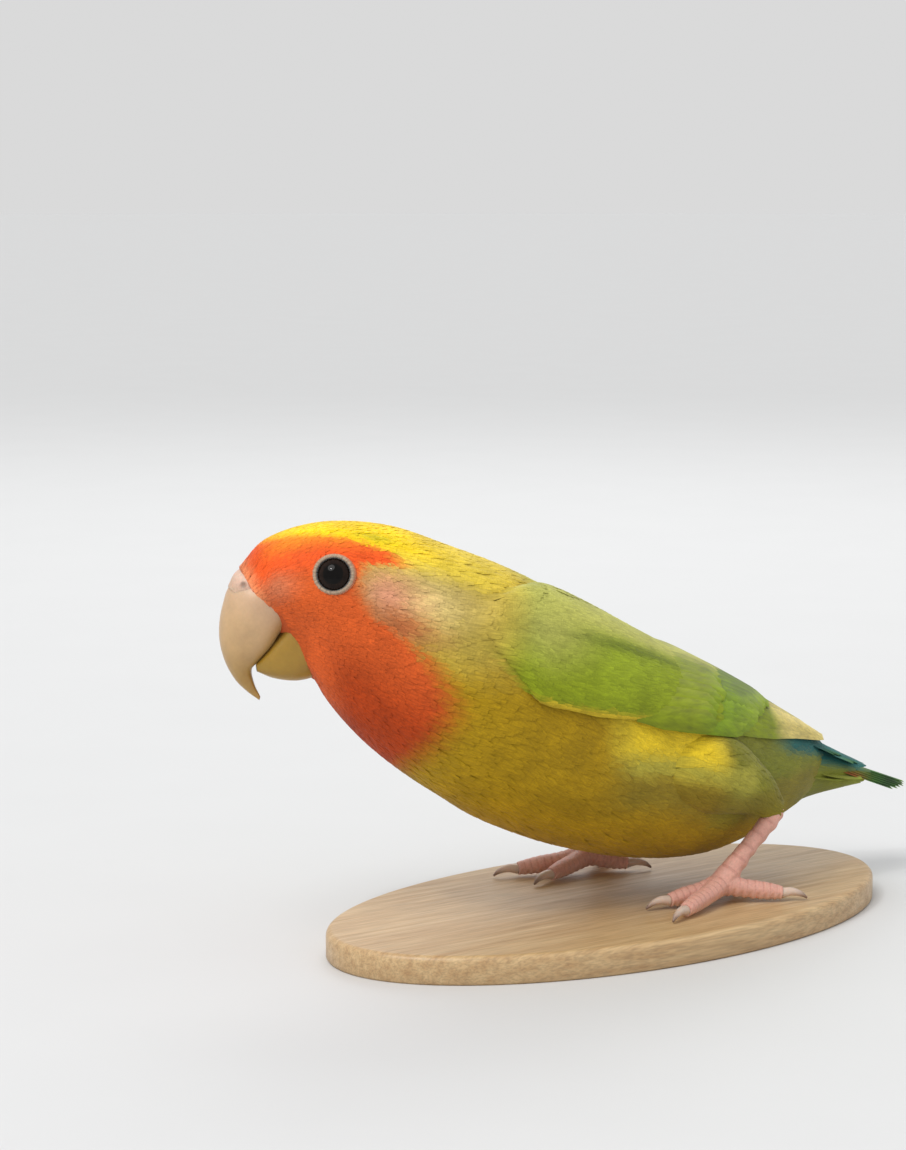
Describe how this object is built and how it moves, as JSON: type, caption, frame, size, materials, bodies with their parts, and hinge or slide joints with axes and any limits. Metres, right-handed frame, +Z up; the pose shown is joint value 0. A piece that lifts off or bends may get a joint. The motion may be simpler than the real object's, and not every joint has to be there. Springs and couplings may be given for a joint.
{
  "type": "peach faced lovebird",
  "caption": "Small stout parrot leaning forward in a low crouch with its head turned aside: hooked bill, folded wings, short rounded tail, on a plain oval base.",
  "frame": {"origin": "centre of the oval base's underside, on the surface that it rests on", "axes": "+Z up, -X the way the body faces, +X towards the tail, -Y the bird's left side; the head turns towards +Y"},
  "size_m": [0.1427, 0.062, 0.0759],
  "materials": {
    "breast_feathers": "soft matte body feathers, olive yellow",
    "neck_feathers": "soft matte body feathers, pale olive yellow",
    "face_feathers": "fine velvety feathers, orange red",
    "wing_feathers": "smooth overlapping feathers, yellow green",
    "tail_feathers": "smooth overlapping feathers, green",
    "eye": "wet, glossy, near black",
    "bill": "smooth horn, pinkish ivory",
    "cere": "soft bare skin, whitish pink",
    "foot_skin": "scaly bare skin, flesh pink",
    "claw": "smooth horn, pale grey brown",
    "stand_wood": "pale lacquered wood"
  },
  "bodies": {
    "root": {"torso": "breast_feathers", "neck": "neck_feathers", "head": "face_feathers", "eye_left": "eye", "eye_right": "eye", "bill_upper": "bill", "bill_lower": "bill", "cere": "cere", "wing_left": "wing_feathers", "wing_right": "wing_feathers", "tail": "tail_feathers", "thigh_left": "breast_feathers", "thigh_right": "breast_feathers", "foot_left": "foot_skin", "foot_right": "foot_skin", "claw_left_1": "claw", "claw_left_2": "claw", "claw_left_3": "claw", "claw_left_4": "claw", "claw_right_1": "claw", "claw_right_2": "claw", "claw_right_3": "claw", "claw_right_4": "claw", "stand_base": "stand_wood"}
  },
  "joints": []
}
